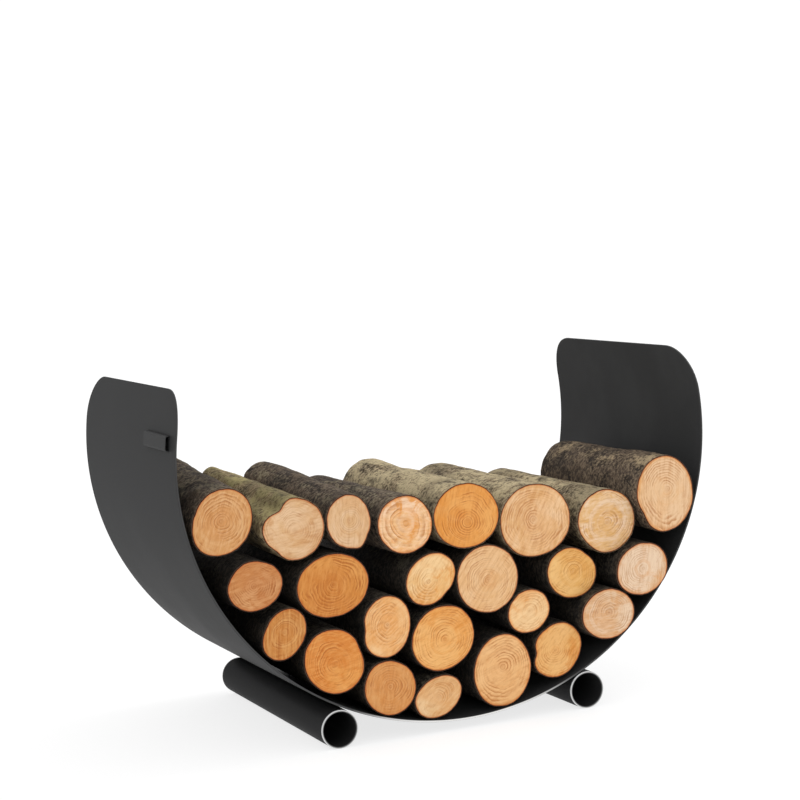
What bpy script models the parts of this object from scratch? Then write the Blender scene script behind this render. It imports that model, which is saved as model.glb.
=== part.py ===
"""Firewood log rack: a rolled sheet-steel cradle on two tube feet, loaded with round logs.

Run with: blender --background --python part.py
Units are metres and +Z is up. +X runs across the cradle and the open front faces -Y.
The origin is at the middle of the bounding box, on the floor.
"""

import math

import bmesh
import bpy
from mathutils import Matrix, Vector

# Cradle sheet: the outer face follows a slightly flattened arc, open at the top.
HALF_WIDTH = 0.300
HALF_HEIGHT = 0.285
SHEET = 0.002
DEPTH = 0.320
END_ANGLE = math.radians(106.9)
CORNER = 0.048
SHEET_STEPS = 112
CORNER_STEPS = 8

# Tube feet, fixed under the cradle along its depth.
FOOT_RADIUS = 0.020
FOOT_WALL = 0.002
FOOT_LENGTH = 0.306
FOOT_ANGLE = math.radians(26.5)
FOOT_FACETS = 64
FOOT_BREAK = 0.0004

# Fasteners: thin-headed countersunk M5 screws from inside the cradle into rivet nuts in the feet.
GAP = 0.0003
OVERCUT = 0.002
NUT_FLANGE = 0.0008
NUT_FLANGE_RADIUS = 0.005
NUT_RADIUS = 0.0035
NUT_BULGE_RADIUS = 0.0044
NUT_LENGTH = 0.011
NUT_BULGE_START = 0.0004
NUT_BULGE_END = 0.0014
NUT_BULGE_FOOT = 0.0022
SCREW_RADIUS = 0.0025
SCREW_HEAD_RADIUS = 0.0040
SCREW_HEAD_DEPTH = 0.0016
SCREW_HEAD_RIM = 0.0003
SCREW_RECESS = 0.0002
SCREW_LENGTH = 0.014
SCREW_TIP = 0.0006
SCREW_SPREAD = 0.105
SOCKET_RADIUS = 0.0017
SOCKET_DEPTH = 0.0010
SOCKET_POINT = 0.0004
SEAT_CLEARANCE = 0.0001

# Open-ended sleeve on the outside of the left wall, near the open front.
SLEEVE_LENGTH = 0.072
SLEEVE_WIDTH = 0.016
SLEEVE_HEIGHT = 0.0044
SLEEVE_WALL = 0.0008
SLEEVE_ROUND = 0.0032
SLEEVE_ROUND_STEPS = 6
SLEEVE_SETBACK = 0.018
SLEEVE_ANGLE = math.radians(-96.2)

# Logs: round firewood. Most front ends lie just inside the cradle's front edge, and three at
# the right stand proud of it.
LOG_SETBACK = 0.002
LOG_PROUD = 0.010
PROUD_LOGS = ("log_top_8", "log_upper_6", "log_lower_5")
LOG_SIDES = 40
LOG_CHAMFER = 0.0012


# The foot stands off the sheet by the flange of its rivet nuts.
FOOT_OFFSET = FOOT_RADIUS + NUT_FLANGE + 2 * GAP

# The sleeve stands out past the left side, so the whole part shifts right by half of that.
SLEEVE_REACH = HALF_WIDTH * math.sin(-SLEEVE_ANGLE) + GAP + SLEEVE_HEIGHT - HALF_WIDTH
SHIFT_X = max(SLEEVE_REACH, 0.0) / 2

# The proud logs stick out past the front, so the whole part shifts back by half of that.
SHIFT_Y = LOG_PROUD / 2


# Each log: middle of its section from the arc centre (x, z), half width, half height and tilt
# in degrees, end-grain colour, and lobes. A lobe is (direction, half spread, rise): directions
# in degrees anticlockwise from +X seen from the front, rises in metres, negative for a hollow.
LOGS = {
    "log_top_1": (
        -0.2538, -0.0499, 0.0312, 0.0342, -31, (0.80, 0.57, 0.36),
        [(45, 30, 0.001), (228, 28, 0.0025)],
    ),
    "log_top_2": (
        -0.1789, -0.0651, 0.0331, 0.0323, 2, (0.82, 0.62, 0.45),
        [(127, 21, -0.0072), (225, 20, -0.003), (173, 24, 0.002)],
    ),
    "log_top_3": (-0.1199, -0.0636, 0.0247, 0.0283, 6, (0.80, 0.63, 0.47), [(-66, 14, 0.003)]),
    "log_top_4": (-0.0582, -0.0741, 0.0315, 0.0305, -31, (0.87, 0.66, 0.43), [(215, 30, -0.001)]),
    "log_top_5": (0.0117, -0.0723, 0.0383, 0.0344, -1, (0.83, 0.56, 0.28), []),
    "log_top_6": (0.0920, -0.0855, 0.0423, 0.0387, 0, (0.87, 0.69, 0.50), [(235, 26, 0.001)]),
    "log_top_7": (0.1770, -0.0958, 0.0355, 0.0351, 0, (0.86, 0.71, 0.60), [(225, 30, -0.002)]),
    "log_top_8": (0.2434, -0.0718, 0.0360, 0.0417, 0, (0.85, 0.64, 0.42), [(214, 22, -0.0035)]),
    "log_upper_1": (-0.2240, -0.1175, 0.0297, 0.0258, 9, (0.78, 0.53, 0.34), []),
    "log_upper_2": (-0.1407, -0.1268, 0.0401, 0.0325, 6, (0.77, 0.50, 0.23), []),
    "log_upper_3": (-0.0323, -0.1335, 0.0305, 0.0261, 39, (0.88, 0.64, 0.33), [(-50, 34, -0.002)]),
    "log_upper_4": (0.0328, -0.1409, 0.0360, 0.0365, 23, (0.84, 0.67, 0.49), []),
    "log_upper_5": (0.1324, -0.1464, 0.0307, 0.0276, -21, (0.85, 0.65, 0.37), [(48, 24, -0.0015)]),
    "log_upper_6": (0.2118, -0.1501, 0.0325, 0.0283, 17, (0.84, 0.63, 0.48), []),
    "log_lower_1": (-0.1958, -0.1702, 0.0222, 0.0279, -35, (0.78, 0.54, 0.27), [(60, 30, 0.001)]),
    "log_lower_2": (-0.0847, -0.1766, 0.0272, 0.0332, -14, (0.86, 0.65, 0.45), [(183, 22, -0.003)]),
    "log_lower_3": (-0.0216, -0.1966, 0.0369, 0.0340, 26, (0.86, 0.62, 0.33), []),
    "log_lower_4": (0.0792, -0.1810, 0.0260, 0.0231, 26, (0.86, 0.63, 0.36), []),
    "log_lower_5": (0.1679, -0.1937, 0.0324, 0.0273, -1, (0.84, 0.62, 0.46), []),
    "log_base_1": (-0.1436, -0.2047, 0.0323, 0.0356, 42, (0.83, 0.56, 0.27), [(15, 22, -0.002)]),
    "log_base_2": (-0.0839, -0.2402, 0.0301, 0.0286, -40, (0.80, 0.54, 0.31), []),
    "log_base_3": (0.0449, -0.2399, 0.0342, 0.0390, -9, (0.84, 0.60, 0.35), []),
    "log_base_4": (0.1104, -0.2271, 0.0317, 0.0279, 42, (0.84, 0.59, 0.31), [(182, 16, -0.0045)]),
    "log_base_5": (-0.0305, -0.2573, 0.0283, 0.0213, 23, (0.84, 0.61, 0.39), []),
}


# Rear ends: length, how far the rear end is off to the right and up, and its size against
# the front end. Most logs are straight; a few of the top ones rise, sink or taper.
REAR_ENDS = {
    "log_top_1": (0.250, 0.001, 0.017, 1.00),
    "log_top_2": (0.252, 0.000, 0.006, 1.00),
    "log_top_3": (0.248, 0.000, 0.012, 1.00),
    "log_top_4": (0.250, 0.000, -0.003, 0.98),
    "log_top_5": (0.254, 0.000, 0.001, 0.98),
    "log_top_6": (0.246, 0.000, 0.000, 0.97),
    "log_top_7": (0.250, 0.000, 0.000, 0.97),
    "log_top_8": (0.228, 0.002, -0.001, 0.94),
    "log_upper_1": (0.251, 0.0, 0.0, 0.98),
    "log_upper_2": (0.247, 0.0, 0.0, 0.98),
    "log_upper_3": (0.253, 0.0, 0.0, 0.97),
    "log_upper_4": (0.249, 0.0, 0.0, 0.98),
    "log_upper_5": (0.245, 0.0, 0.0, 0.97),
    "log_upper_6": (0.252, 0.0, 0.0, 0.98),
    "log_lower_1": (0.250, 0.0, 0.0, 0.97),
    "log_lower_2": (0.246, 0.0, 0.0, 0.98),
    "log_lower_3": (0.254, 0.0, 0.0, 0.98),
    "log_lower_4": (0.248, 0.0, 0.0, 0.97),
    "log_lower_5": (0.251, 0.0, 0.0, 0.98),
    "log_base_1": (0.253, 0.0, 0.0, 0.98),
    "log_base_2": (0.249, 0.0, 0.0, 0.98),
    "log_base_3": (0.246, 0.0, 0.0, 0.98),
    "log_base_4": (0.252, 0.0, 0.0, 0.97),
    "log_base_5": (0.250, 0.0, 0.0, 0.98),
}


def clear_scene():
    for obj in list(bpy.data.objects):
        bpy.data.objects.remove(obj, do_unlink=True)


def add_material(name, colour, roughness, metallic):
    material = bpy.data.materials.new(name)
    material.use_nodes = True
    shader = material.node_tree.nodes["Principled BSDF"]
    shader.inputs["Base Color"].default_value = (*colour, 1.0)
    shader.inputs["Roughness"].default_value = roughness
    shader.inputs["Metallic"].default_value = metallic
    material.diffuse_color = (*colour, 1.0)
    return material


def add_object(name, mesh_data, material):
    mesh = bpy.data.meshes.new(name)
    mesh_data.normal_update()
    bmesh.ops.recalc_face_normals(mesh_data, faces=mesh_data.faces)
    mesh_data.to_mesh(mesh)
    mesh_data.free()
    mesh.materials.append(material)
    obj = bpy.data.objects.new(name, mesh)
    bpy.context.scene.collection.objects.link(obj)
    return obj


def cut(obj, cutter):
    modifier = obj.modifiers.new("cut_" + cutter.name, "BOOLEAN")
    modifier.operation = "DIFFERENCE"
    modifier.solver = "EXACT"
    modifier.object = cutter
    cutter.hide_render = True
    cutter.display_type = "WIRE"


def normal_at(angle):
    """Outward unit normal of the arc, at an angle from its lowest point."""
    return Vector((math.sin(angle) / HALF_WIDTH, 0.0, -math.cos(angle) / HALF_HEIGHT)).normalized()


def arc_point(angle, offset=0.0):
    """Point on the sheet's outer face, moved outward by offset, from the arc centre."""
    point = Vector((HALF_WIDTH * math.sin(angle), 0.0, -HALF_HEIGHT * math.cos(angle)))
    return point + normal_at(angle) * offset


def arc_speed(angle):
    return math.hypot(HALF_WIDTH * math.cos(angle), HALF_HEIGHT * math.sin(angle))


def arc_height():
    """Height of the arc centre, so that the lowest facets of the feet lie on the floor."""
    facet = FOOT_RADIUS * math.cos(math.pi / FOOT_FACETS)
    return facet - arc_point(FOOT_ANGLE, FOOT_OFFSET).z


CENTRE = Vector((SHIFT_X, SHIFT_Y, arc_height()))


def sheet_stations():
    """(angle, half depth) pairs across the cradle, with the four corners rounded."""
    corner_angle = CORNER / arc_speed(END_ANGLE)
    inner = END_ANGLE - corner_angle
    stations = []
    for i in range(SHEET_STEPS + 1):
        stations.append((-inner + 2 * inner * i / SHEET_STEPS, DEPTH / 2))
    for i in range(1, CORNER_STEPS + 1):
        turn = 0.5 * math.pi * i / CORNER_STEPS
        angle = inner + corner_angle * math.sin(turn)
        half = DEPTH / 2 - CORNER * (1 - math.cos(turn))
        stations.append((angle, half))
        stations.insert(0, (-angle, half))
    return stations


def build_cradle(material):
    data = bmesh.new()
    rings = []
    for angle, half in sheet_stations():
        outer = arc_point(angle)
        inner = arc_point(angle, -SHEET)
        ring = []
        for point, side in ((outer, -1), (outer, 1), (inner, 1), (inner, -1)):
            ring.append(data.verts.new((point.x, side * half, point.z)))
        rings.append(ring)
    for first, second in zip(rings, rings[1:]):
        for i in range(4):
            j = (i + 1) % 4
            data.faces.new((first[i], first[j], second[j], second[i]))
    data.faces.new(rings[0])
    data.faces.new(list(reversed(rings[-1])))
    cradle = add_object("cradle", data, material)
    cradle.location = CENTRE
    return cradle


def revolve(data, profile, segments):
    """Closed ring swept from (radius, height) points; a zero radius closes onto the axis."""
    rings = []
    for radius, height in profile:
        if radius == 0:
            rings.append([data.verts.new((0.0, 0.0, height))])
            continue
        ring = []
        for i in range(segments):
            turn = 2 * math.pi * (i + 0.5) / segments
            ring.append(data.verts.new((radius * math.cos(turn), radius * math.sin(turn), height)))
        rings.append(ring)
    return rings


def bridge(data, first, second):
    count = max(len(first), len(second))
    for i in range(count):
        j = (i + 1) % count
        if len(first) == 1:
            data.faces.new((first[0], second[j], second[i]))
        elif len(second) == 1:
            data.faces.new((first[i], first[j], second[0]))
        else:
            data.faces.new((first[i], first[j], second[j], second[i]))


def lathe(name, profile, segments, material, closed=False):
    """Solid of revolution about local Z. A closed profile leaves a through hole."""
    data = bmesh.new()
    rings = revolve(data, profile, segments)
    for first, second in zip(rings, rings[1:]):
        bridge(data, first, second)
    if closed:
        bridge(data, rings[-1], rings[0])
    return add_object(name, data, material)


def build_foot(name, side, material):
    inner = FOOT_RADIUS - FOOT_WALL
    half = FOOT_LENGTH / 2
    profile = [
        (inner, -half + FOOT_BREAK),
        (inner + FOOT_BREAK, -half),
        (FOOT_RADIUS - FOOT_BREAK, -half),
        (FOOT_RADIUS, -half + FOOT_BREAK),
        (FOOT_RADIUS, half - FOOT_BREAK),
        (FOOT_RADIUS - FOOT_BREAK, half),
        (inner + FOOT_BREAK, half),
        (inner, half - FOOT_BREAK),
    ]
    foot = lathe(name, profile, FOOT_FACETS, material, closed=True)
    foot.rotation_euler = (math.radians(90), 0.0, 0.0)
    middle = arc_point(side * FOOT_ANGLE, FOOT_OFFSET)
    foot.location = CENTRE + middle + Vector((0.0, (FOOT_LENGTH - DEPTH) / 2, 0.0))
    return foot


def fastener_frame(side, along):
    """Placement whose local Z runs from the foot's axis into the cradle, at a screw position."""
    inward = -normal_at(side * FOOT_ANGLE)
    depth_axis = Vector((0.0, 1.0, 0.0))
    third = depth_axis.cross(inward)
    turn = Matrix((third, depth_axis, inward)).transposed()
    place = CENTRE + arc_point(side * FOOT_ANGLE, FOOT_OFFSET)
    place.y += (FOOT_LENGTH - DEPTH) / 2 + along
    return Matrix.Translation(place) @ turn.to_4x4()


def screw_levels():
    """Distances from the foot's axis: sheet inside, sheet outside, foot crest, foot bore."""
    return FOOT_OFFSET + SHEET, FOOT_OFFSET, FOOT_RADIUS, FOOT_RADIUS - FOOT_WALL


def build_screw(name, placement, material):
    sheet_inside = screw_levels()[0]
    top = sheet_inside - SCREW_RECESS
    neck = top - SCREW_HEAD_DEPTH
    profile = [
        (0.0, top),
        (SCREW_HEAD_RADIUS - SCREW_HEAD_RIM, top),
        (SCREW_HEAD_RADIUS, top - SCREW_HEAD_RIM),
        (SCREW_RADIUS, neck),
        (SCREW_RADIUS, top - SCREW_LENGTH + SCREW_TIP),
        (SCREW_RADIUS - SCREW_TIP, top - SCREW_LENGTH),
        (0.0, top - SCREW_LENGTH),
    ]
    screw = lathe(name, profile, 24, material)
    screw.matrix_world = placement
    socket_profile = [
        (0.0, top + OVERCUT),
        (SOCKET_RADIUS, top + OVERCUT),
        (SOCKET_RADIUS, top - SOCKET_DEPTH),
        (0.0, top - SOCKET_DEPTH - SOCKET_POINT),
    ]
    socket = lathe("socket_" + name, socket_profile, 6, material)
    socket.matrix_world = placement
    cut(screw, socket)


def build_nut(name, placement, material):
    bore = SCREW_RADIUS + GAP
    wall_top = FOOT_RADIUS + GAP
    bulge_top = math.sqrt((FOOT_RADIUS - FOOT_WALL) ** 2 - NUT_BULGE_RADIUS**2) - GAP
    bottom = wall_top + NUT_FLANGE - NUT_LENGTH
    profile = [
        (bore, wall_top + NUT_FLANGE),
        (NUT_FLANGE_RADIUS, wall_top + NUT_FLANGE),
        (NUT_FLANGE_RADIUS, wall_top),
        (NUT_RADIUS, wall_top),
        (NUT_RADIUS, bulge_top),
        (NUT_BULGE_RADIUS, bulge_top - NUT_BULGE_START),
        (NUT_BULGE_RADIUS, bulge_top - NUT_BULGE_END),
        (NUT_RADIUS, bulge_top - NUT_BULGE_FOOT),
        (NUT_RADIUS, bottom),
        (bore, bottom),
    ]
    nut = lathe(name, profile, 24, material, closed=True)
    nut.matrix_world = placement


def cut_screw_holes(name, placement, cradle, foot, material):
    sheet_inside, sheet_outside, crest, bore_wall = screw_levels()
    seat = sheet_inside - SCREW_RECESS - SEAT_CLEARANCE
    sheet_profile = [
        (0.0, sheet_inside + OVERCUT),
        (SCREW_HEAD_RADIUS + GAP, sheet_inside + OVERCUT),
        (SCREW_HEAD_RADIUS + GAP, seat - SCREW_HEAD_RIM),
        (SCREW_RADIUS + GAP, seat - SCREW_HEAD_DEPTH),
        (SCREW_RADIUS + GAP, sheet_outside - OVERCUT),
        (0.0, sheet_outside - OVERCUT),
    ]
    sheet_cutter = lathe("hole_sheet_" + name, sheet_profile, 24, material)
    sheet_cutter.matrix_world = placement
    cut(cradle, sheet_cutter)
    foot_profile = [
        (0.0, crest + OVERCUT),
        (NUT_RADIUS + GAP, crest + OVERCUT),
        (NUT_RADIUS + GAP, bore_wall - OVERCUT),
        (0.0, bore_wall - OVERCUT),
    ]
    foot_cutter = lathe("hole_foot_" + name, foot_profile, 24, material)
    foot_cutter.matrix_world = placement
    cut(foot, foot_cutter)


def sleeve_side(half_width, height, radius):
    """One side of the sleeve's section, from the wall round to the top, as (across, out)."""
    points = [(half_width, 0.0)]
    for i in range(SLEEVE_ROUND_STEPS + 1):
        turn = 0.5 * math.pi * i / SLEEVE_ROUND_STEPS
        across = half_width - radius + radius * math.cos(turn)
        points.append((across, height - radius + radius * math.sin(turn)))
    return points


def sleeve_section():
    """Closed outline of the channel: the outer skin, then the inner skin back again."""
    inner_round = SLEEVE_ROUND - SLEEVE_WALL
    outer = sleeve_side(SLEEVE_WIDTH / 2, SLEEVE_HEIGHT, SLEEVE_ROUND)
    inner = sleeve_side(SLEEVE_WIDTH / 2 - SLEEVE_WALL, SLEEVE_HEIGHT - SLEEVE_WALL, inner_round)
    outer_skin = outer + [(-across, out) for across, out in reversed(outer)]
    inner_skin = inner + [(-across, out) for across, out in reversed(inner)]
    return outer_skin + list(reversed(inner_skin))


def build_side_sleeve(material):
    """Shallow channel lying against the wall, open at both ends."""
    data = bmesh.new()
    speed = arc_speed(SLEEVE_ANGLE)
    rings = []
    for end in (-SLEEVE_LENGTH / 2, SLEEVE_LENGTH / 2):
        ring = []
        for across, out in sleeve_section():
            point = arc_point(SLEEVE_ANGLE + across / speed, GAP + out)
            ring.append(data.verts.new((point.x, end, point.z)))
        rings.append(ring)
    bridge(data, rings[0], rings[1])
    half = len(rings[0]) // 2
    for ring in rings:
        for i in range(half - 1):
            j = len(ring) - 1 - i
            data.faces.new((ring[i], ring[i + 1], ring[j - 1], ring[j]))
    sleeve = add_object("side_sleeve", data, material)
    setback = -DEPTH / 2 + SLEEVE_SETBACK + SLEEVE_LENGTH / 2
    sleeve.location = CENTRE + Vector((0.0, setback, 0.0))


def log_radius(half_width, half_height, tilt, lobes, direction):
    """Distance from the log's middle to its bark, in a direction given in degrees."""
    turn = math.radians(direction - tilt)
    radius = half_width * half_height / math.hypot(
        half_height * math.cos(turn), half_width * math.sin(turn)
    )
    for middle, spread, rise in lobes:
        away = (direction - middle + 180) % 360 - 180
        radius += rise * math.exp(-((away / spread) ** 2))
    return radius


def build_log(name, material):
    x, z, half_width, half_height, tilt, _, lobes = LOGS[name]
    length, rear_x, rear_z, rear_scale = REAR_ENDS[name]
    data = bmesh.new()
    rings = []
    for along, inset in (
        (0.0, LOG_CHAMFER),
        (LOG_CHAMFER, 0.0),
        (length - LOG_CHAMFER, 0.0),
        (length, LOG_CHAMFER),
    ):
        share = along / length
        scale = 1 + (rear_scale - 1) * share
        ring = []
        for i in range(LOG_SIDES):
            direction = 360 * i / LOG_SIDES
            radius = log_radius(half_width, half_height, tilt, lobes, direction) * scale - inset
            turn = math.radians(direction)
            across = rear_x * share + radius * math.cos(turn)
            ring.append(data.verts.new((across, along, rear_z * share + radius * math.sin(turn))))
        rings.append(ring)
    for first, second in zip(rings, rings[1:]):
        bridge(data, first, second)
    data.faces.new(rings[0])
    data.faces.new(list(reversed(rings[-1])))
    log = add_object(name, data, material)
    front = -LOG_PROUD if name in PROUD_LOGS else LOG_SETBACK
    log.location = CENTRE + Vector((x, front - DEPTH / 2, z))


def main():
    clear_scene()
    coating = add_material("cradle_coating", (0.045, 0.045, 0.047), 0.45, 0.0)
    cradle = build_cradle(coating)
    sleeve_coating = add_material("side_sleeve_coating", (0.045, 0.045, 0.047), 0.45, 0.0)
    build_side_sleeve(sleeve_coating)
    for side_name, side in (("left", -1), ("right", 1)):
        foot_coating = add_material("foot_coating_" + side_name, (0.02, 0.02, 0.021), 0.4, 0.0)
        foot = build_foot("foot_" + side_name, side, foot_coating)
        for end_name, along in (("front", -SCREW_SPREAD), ("rear", SCREW_SPREAD)):
            name = side_name + "_" + end_name
            placement = fastener_frame(side, along)
            steel = add_material("screw_steel_" + name, (0.35, 0.35, 0.36), 0.35, 1.0)
            zinc = add_material("rivet_nut_zinc_" + name, (0.55, 0.54, 0.50), 0.4, 1.0)
            build_screw("screw_" + name, placement, steel)
            build_nut("rivet_nut_" + name, placement, zinc)
            cut_screw_holes(name, placement, cradle, foot, steel)
    for name in LOGS:
        wood = add_material(name + "_wood", LOGS[name][5], 0.75, 0.0)
        build_log(name, wood)


main()
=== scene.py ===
"""Looks of the firewood log rack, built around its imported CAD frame."""

import math
from collections import namedtuple

import bpy
import numpy as np
from mathutils import Matrix, Vector, noise


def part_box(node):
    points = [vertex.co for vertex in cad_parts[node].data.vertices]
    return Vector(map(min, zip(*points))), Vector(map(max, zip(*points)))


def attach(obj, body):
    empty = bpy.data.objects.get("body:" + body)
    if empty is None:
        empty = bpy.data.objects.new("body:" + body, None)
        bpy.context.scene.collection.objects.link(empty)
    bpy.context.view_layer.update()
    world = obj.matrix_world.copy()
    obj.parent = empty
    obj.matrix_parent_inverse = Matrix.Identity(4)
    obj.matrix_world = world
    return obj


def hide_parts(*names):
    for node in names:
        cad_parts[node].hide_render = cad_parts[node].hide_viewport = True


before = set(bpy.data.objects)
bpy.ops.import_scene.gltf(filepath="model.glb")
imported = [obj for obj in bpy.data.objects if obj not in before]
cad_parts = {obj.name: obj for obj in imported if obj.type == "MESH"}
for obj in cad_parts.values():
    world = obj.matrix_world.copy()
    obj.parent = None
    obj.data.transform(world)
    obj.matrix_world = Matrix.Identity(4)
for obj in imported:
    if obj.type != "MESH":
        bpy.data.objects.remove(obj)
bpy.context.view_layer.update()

# ---------------------------------------------------------------- sizes, metres

# Cradle: sheet thickness, half height as a share of half width, angle of its two ends.
SHEET = 0.002
FLATTENING = 0.95
END_ANGLE = math.radians(106.9)
SHEET_CORNER = 0.048
SHEET_EDGE = 0.0005
SHEET_STEPS = 260
CORNER_STEPS = 14
EDGE_STEPS = 4

# Feet: where they meet the arc, wall and rounding of their lips.
FOOT_ANGLE = math.radians(26.5)
FOOT_WALL = 0.002
FOOT_EDGE = 0.0005
FOOT_LIP_STEPS = 4
FOOT_SIDES = 144

# Holes for the screws in the cradle and for the rivet nuts in the feet.
SCREW_SHANK = 0.0028
SCREW_SEAT = 0.0001
SCREW_HEAD_RIM = 0.0006
SCREW_HOLE_SIDES = 48
NUT_HOLE = 0.0038
NUT_HOLE_SIDES = 40
OVERCUT = 0.003

# Sleeve: where it sits on the arc, its size along the arc and outward, wall and roundings.
SLEEVE_ANGLE = math.radians(-96.2)
SLEEVE_WIDTH = 0.016
SLEEVE_HEIGHT = 0.00438
SLEEVE_WALL = 0.0008
SLEEVE_ROUND = 0.0032
SLEEVE_LIP = 0.0003
SLEEVE_STEPS = 10

# Kept between metal pieces that touch.
GAP = 0.0003

# Rings of the logs: the top row is seen along its whole length, the others at their ends.
TOP_SIDES = 168
TOP_STEPS = 120
LOW_SIDES = 112
LOW_STEPS = 44
END_RINGS = 14

# The CAD log's outline is read just behind its chamfer, and kept down to its broad waves.
END_CHAMFER = 0.0012
SECTION_REACH = 0.0004
OUTLINE_WAVES = 16

# Cut edge of the bark and the dark inner bark, then the share of the length it takes up.
BARK_THICK = 0.0003
CAMBIUM_THICK = 0.0008
BARK_SET_BACK = 0.0007
BARK_CHIPS = 0.0004
BARK_ROUND = 0.0006
BARK_START = 0.012

# Sawn face: how far it lies inside the log's end, the saw's waves, and its largest slope.
SAW_INSET = 0.0006
SAW_WAVES = 0.0003
SAW_LEAN = 0.010

# Smallest ring of a sawn face, as a share of the outline; it closes the face at the pith.
PITH_RING = 0.004

# Unevenness that runs the whole length, and bark relief as (everywhere, more where free).
OUTLINE_BROAD = 0.0009
OUTLINE_FINE = 0.00035
OUTLINE_INSET = 0.0002
RELIEF_BROAD = (0.0002, 0.0011)
RELIEF_MEDIUM = (0.0001, 0.0005)
RELIEF_FINE = 0.0002

# Edges that turn by more degrees than this are shaded as sharp.
METAL_CREASE = 40
LOG_CREASE = 50


def corners(node):
    low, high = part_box(node)
    return Vector(low), Vector(high)


cradle_low, cradle_high = corners("cradle")
HALF_WIDTH = round((cradle_high.x - cradle_low.x) / 2, 3)
HALF_HEIGHT = FLATTENING * HALF_WIDTH
HALF_DEPTH = (cradle_high.y - cradle_low.y) / 2
CENTRE = (cradle_low + cradle_high) / 2
CENTRE.z = cradle_low.z + HALF_HEIGHT


# ---------------------------------------------------------------- colours and nodes


def srgb(red, green, blue):
    """Linear colour from three 0 to 255 values."""
    linear = []
    for value in (red, green, blue):
        share = value / 255
        linear.append(share / 12.92 if share <= 0.04045 else ((share + 0.055) / 1.055) ** 2.4)
    return (*linear, 1.0)


class Shading:
    """A material's node tree, with short calls for the nodes used here."""

    def __init__(self, name, roughness, metallic=0.0, specular=0.5):
        self.material = bpy.data.materials.new(name)
        self.material.use_nodes = True
        self.tree = self.material.node_tree
        self.shader = self.tree.nodes["Principled BSDF"]
        self.shader.inputs["Roughness"].default_value = roughness
        self.shader.inputs["Metallic"].default_value = metallic
        self.shader.inputs["Specular IOR Level"].default_value = specular

    def node(self, kind, inputs=None, **settings):
        made = self.tree.nodes.new("ShaderNode" + kind)
        for key, value in settings.items():
            setattr(made, key, value)
        for key, value in (inputs or {}).items():
            self.feed(made.inputs[key], value)
        return made

    def feed(self, socket, value):
        if isinstance(value, bpy.types.NodeSocket):
            self.tree.links.new(value, socket)
        else:
            socket.default_value = value

    def calc(self, operation, first, second=0.0, third=0.0):
        made = self.node("Math", {0: first, 1: second, 2: third}, operation=operation)
        return made.outputs[0]

    def times(self, first, second):
        return self.calc("MULTIPLY", first, second)

    def plus(self, base, value, scale):
        """Base plus value times scale."""
        return self.calc("MULTIPLY_ADD", value, scale, base)

    def attribute(self, name):
        return self.node("Attribute", attribute_name=name).outputs["Fac"]

    def place(self, stretch=(1.0, 1.0, 1.0), turn=0.0, shift=(0.0, 0.0, 0.0)):
        """Object coordinates that stretch a texture along its axes, turned about Y."""
        coords = self.node("TexCoord").outputs["Object"]
        inputs = {"Vector": coords, "Scale": stretch, "Location": shift}
        inputs["Rotation"] = (0.0, turn, 0.0)
        return self.node("Mapping", inputs, vector_type="TEXTURE").outputs[0]

    def noise(self, vector, scale, detail=3.0, roughness=0.5, distortion=0.0):
        inputs = {"Vector": vector, "Scale": scale, "Detail": detail}
        inputs.update({"Roughness": roughness, "Distortion": distortion})
        return self.node("TexNoise", inputs).outputs["Fac"]

    def line_noise(self, value, seed):
        """Noise that changes only with value."""
        spot = self.node("CombineXYZ", {"X": value, "Y": seed})
        return self.noise(spot.outputs[0], 1.0, 2.0)

    def spread(self, value, low, high, to_low=0.0, to_high=1.0):
        """Smooth step of value from low..high to to_low..to_high."""
        inputs = {"Value": value, "From Min": low, "From Max": high}
        inputs.update({"To Min": to_low, "To Max": to_high})
        return self.node("MapRange", inputs, interpolation_type="SMOOTHSTEP").outputs[0]

    def mix(self, factor, first, second):
        """Mix of two colours, which are sockets 6 and 7 of the node."""
        made = self.node("Mix", data_type="RGBA")
        self.feed(made.inputs["Factor"], factor)
        self.feed(made.inputs[6], first)
        self.feed(made.inputs[7], second)
        return made.outputs[2]

    def tints(self, base, layers):
        """Base under layers of (value, low, high, share at low, share at high, colour)."""
        for value, low, high, to_low, to_high, colour in layers:
            base = self.mix(self.spread(value, low, high, to_low, to_high), base, colour)
        return base

    def bump(self, height, strength, distance):
        inputs = {"Height": height, "Strength": strength, "Distance": distance}
        return self.node("Bump", inputs).outputs[0]

    def finish(self, colour, normal=None, roughness=None):
        self.feed(self.shader.inputs["Base Color"], colour)
        if normal is not None:
            self.feed(self.shader.inputs["Normal"], normal)
        if roughness is not None:
            self.feed(self.shader.inputs["Roughness"], roughness)
        return self.material


# Coats of the cradle and the feet, and the lighter colours painted on their edges as highlights.
COAT = (0.033, 0.0332, 0.0336, 1.0)
COAT_EDGE_HIGHLIGHT = (0.20, 0.20, 0.20, 1.0)
# The feet's coat is the cradle's coat painted darker, as shade on the tubes.
FOOT_COAT_SHADED = (0.018, 0.018, 0.0184, 1.0)
FOOT_EDGE_HIGHLIGHT = (0.72, 0.72, 0.72, 1.0)

# Pale colour painted on the lowest edges as a highlight: full below the first height over the floor,
# none above the second.
LOW_EDGE_HIGHLIGHT = (0.80, 0.80, 0.79, 1.0)
LOW_HIGHLIGHT_FULL_BELOW = 0.013
LOW_HIGHLIGHT_NONE_ABOVE = 0.040


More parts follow.
